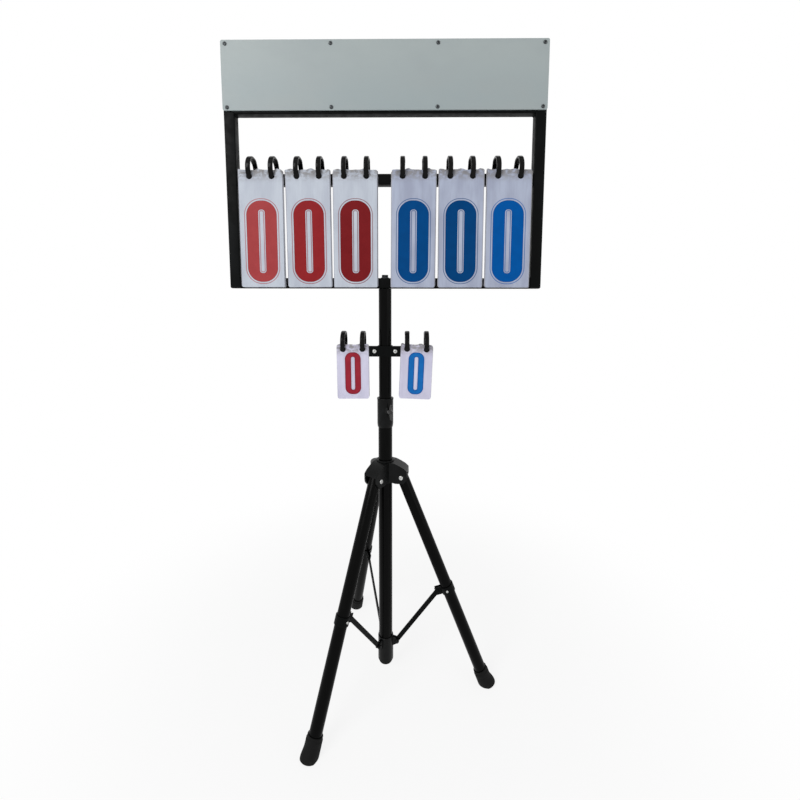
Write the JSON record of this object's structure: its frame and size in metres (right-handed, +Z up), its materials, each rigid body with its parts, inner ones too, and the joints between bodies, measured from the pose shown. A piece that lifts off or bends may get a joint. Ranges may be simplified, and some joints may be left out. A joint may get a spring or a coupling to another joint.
{
  "type": "flip scoreboard",
  "caption": "Portable flip scoreboard: a steel frame with ring-hung digit cards and a header sheet, on a telescopic mast with a folding tripod.",
  "frame": {"origin": "on the floor, at the centre of the stand's and board's box seen from above", "axes": "+Z up, +X to the right of someone who reads the board, -Y towards that reader"},
  "size_m": [0.6, 0.4036, 1.2697],
  "materials": {
    "frame_steel": "semi-matt black powder coat",
    "tube_steel": "gloss black paint",
    "header_sheet": "satin grey sheet",
    "card": "smooth white plastic card",
    "red_numeral_card": "white plastic card printed with a red 0",
    "blue_numeral_card": "white plastic card printed with a blue 0",
    "ring_plastic": "glossy black plastic",
    "moulded_plastic": "moulded black plastic",
    "foot_rubber": "black rubber",
    "zinc": "bright zinc plate"
  },
  "bodies": {
    "base": {"lower_tube": "tube_steel", "height_collar": "moulded_plastic", "lower_collar": "moulded_plastic"},
    "mast": {"upper_tube": "tube_steel", "set_score_bar": "frame_steel", "mast_saddle": "frame_steel", "red_set_left_ring": "ring_plastic", "red_set_right_ring": "ring_plastic", "red_set_card_stack": "card", "blue_set_left_ring": "ring_plastic", "blue_set_right_ring": "ring_plastic", "blue_set_card_stack": "card"},
    "board": {"left_upright": "frame_steel", "right_upright": "frame_steel", "top_rail": "frame_steel", "panel_rail": "frame_steel", "bottom_rail": "frame_steel", "ring_bar": "frame_steel", "header_panel": "header_sheet", "board_bolt": "zinc", "red_1_left_ring": "ring_plastic", "red_1_right_ring": "ring_plastic", "red_1_card_stack": "card", "red_2_left_ring": "ring_plastic", "red_2_right_ring": "ring_plastic", "red_2_card_stack": "card", "red_3_left_ring": "ring_plastic", "red_3_right_ring": "ring_plastic", "red_3_card_stack": "card", "blue_1_left_ring": "ring_plastic", "blue_1_right_ring": "ring_plastic", "blue_1_card_stack": "card", "blue_2_left_ring": "ring_plastic", "blue_2_right_ring": "ring_plastic", "blue_2_card_stack": "card", "blue_3_left_ring": "ring_plastic", "blue_3_right_ring": "ring_plastic", "blue_3_card_stack": "card"},
    "hub": {"hub": "moulded_plastic"},
    "knob": {"wing_knob": "moulded_plastic"},
    "front_leg": {"front_leg": "tube_steel", "front_leg_foot": "foot_rubber", "front_leg_clip": "frame_steel"},
    "front_leg_brace": {"front_leg_brace": "frame_steel"},
    "right_leg": {"right_leg": "tube_steel", "right_leg_foot": "foot_rubber", "right_leg_clip": "frame_steel"},
    "right_leg_brace": {"right_leg_brace": "frame_steel"},
    "rear_leg": {"rear_leg": "tube_steel", "rear_leg_foot": "foot_rubber", "rear_leg_clip": "frame_steel"},
    "rear_leg_brace": {"rear_leg_brace": "frame_steel"},
    "red_1_card": {"red_1_front_card": "red_numeral_card"},
    "red_2_card": {"red_2_front_card": "red_numeral_card"},
    "red_3_card": {"red_3_front_card": "red_numeral_card"},
    "blue_1_card": {"blue_1_front_card": "blue_numeral_card"},
    "blue_2_card": {"blue_2_front_card": "blue_numeral_card"},
    "blue_3_card": {"blue_3_front_card": "blue_numeral_card"},
    "red_set_card": {"red_set_front_card": "red_numeral_card"},
    "blue_set_card": {"blue_set_front_card": "blue_numeral_card"}
  },
  "joints": [
    {"name": "mast_slide", "type": "slide", "parent": "base", "child": "mast", "axis": [0, 0, 1], "range_m": [-0.075, 0.2]},
    {"name": "board_swivel", "type": "hinge", "parent": "mast", "child": "board", "pos_m": [0, -0.01194, 0.8194], "axis": [0, 0, 1], "continuous": true},
    {"name": "wing_knob_turn", "type": "hinge", "parent": "base", "child": "knob", "pos_m": [0, -0.01194, 0.5784], "axis": [0.4226, -0.9063, 0], "continuous": true},
    {"name": "hub_slide", "type": "slide", "parent": "base", "child": "hub", "axis": [0, 0, 1], "range_m": [0, 0.03879]},
    {"name": "front_leg_fold", "type": "hinge", "parent": "hub", "child": "front_leg", "pos_m": [-0.0199, -0.03914, 0.443], "axis": [0.807, -0.5906, 0], "range_deg": [0, 19.5]},
    {"name": "front_leg_brace_fold", "type": "hinge", "parent": "front_leg", "child": "front_leg_brace", "pos_m": [-0.0648, -0.10048, 0.19774], "axis": [-0.807, 0.5906, 0], "range_deg": [0, 54.7]},
    {"name": "right_leg_fold", "type": "hinge", "parent": "hub", "child": "right_leg", "pos_m": [0.0335, -0.01558, 0.443], "axis": [0.108, 0.9942, 0], "range_deg": [0, 19.5]},
    {"name": "right_leg_brace_fold", "type": "hinge", "parent": "right_leg", "child": "right_leg_brace", "pos_m": [0.10908, -0.02379, 0.19774], "axis": [-0.108, -0.9942, 0], "range_deg": [0, 54.7]},
    {"name": "rear_leg_fold", "type": "hinge", "parent": "hub", "child": "rear_leg", "pos_m": [-0.0136, 0.01889, 0.443], "axis": [-0.915, -0.4035, 0], "range_deg": [0, 19.5]},
    {"name": "rear_leg_brace_fold", "type": "hinge", "parent": "rear_leg", "child": "rear_leg_brace", "pos_m": [-0.04428, 0.08845, 0.19774], "axis": [0.915, 0.4035, 0], "range_deg": [0, 54.7]},
    {"name": "red_1_flip", "type": "hinge", "parent": "board", "child": "red_1_card", "pos_m": [-0.233, -0.01194, 1.044], "axis": [-1, 0, 0], "range_deg": [0, 150]},
    {"name": "red_2_flip", "type": "hinge", "parent": "board", "child": "red_2_card", "pos_m": [-0.144, -0.01194, 1.044], "axis": [-1, 0, 0], "range_deg": [0, 150]},
    {"name": "red_3_flip", "type": "hinge", "parent": "board", "child": "red_3_card", "pos_m": [-0.055, -0.01194, 1.044], "axis": [-1, 0, 0], "range_deg": [0, 150]},
    {"name": "blue_1_flip", "type": "hinge", "parent": "board", "child": "blue_1_card", "pos_m": [0.055, -0.01194, 1.044], "axis": [-1, 0, 0], "range_deg": [0, 150]},
    {"name": "blue_2_flip", "type": "hinge", "parent": "board", "child": "blue_2_card", "pos_m": [0.144, -0.01194, 1.044], "axis": [-1, 0, 0], "range_deg": [0, 150]},
    {"name": "blue_3_flip", "type": "hinge", "parent": "board", "child": "blue_3_card", "pos_m": [0.233, -0.01194, 1.044], "axis": [-1, 0, 0], "range_deg": [0, 150]},
    {"name": "red_set_flip", "type": "hinge", "parent": "mast", "child": "red_set_card", "pos_m": [-0.0625, -0.01499, 0.7146], "axis": [-1, 0, 0], "range_deg": [0, 135]},
    {"name": "blue_set_flip", "type": "hinge", "parent": "mast", "child": "blue_set_card", "pos_m": [0.0625, -0.01499, 0.7146], "axis": [-1, 0, 0], "range_deg": [0, 135]}
  ],
  "couplings": [
    {"joint": "front_leg_fold", "follows": "hub_slide", "rad_per_m": 8.7347},
    {"joint": "front_leg_brace_fold", "follows": "hub_slide", "rad_per_m": 24.569},
    {"joint": "right_leg_fold", "follows": "hub_slide", "rad_per_m": 8.7347},
    {"joint": "right_leg_brace_fold", "follows": "hub_slide", "rad_per_m": 24.569},
    {"joint": "rear_leg_fold", "follows": "hub_slide", "rad_per_m": 8.7347},
    {"joint": "rear_leg_brace_fold", "follows": "hub_slide", "rad_per_m": 24.569}
  ]
}
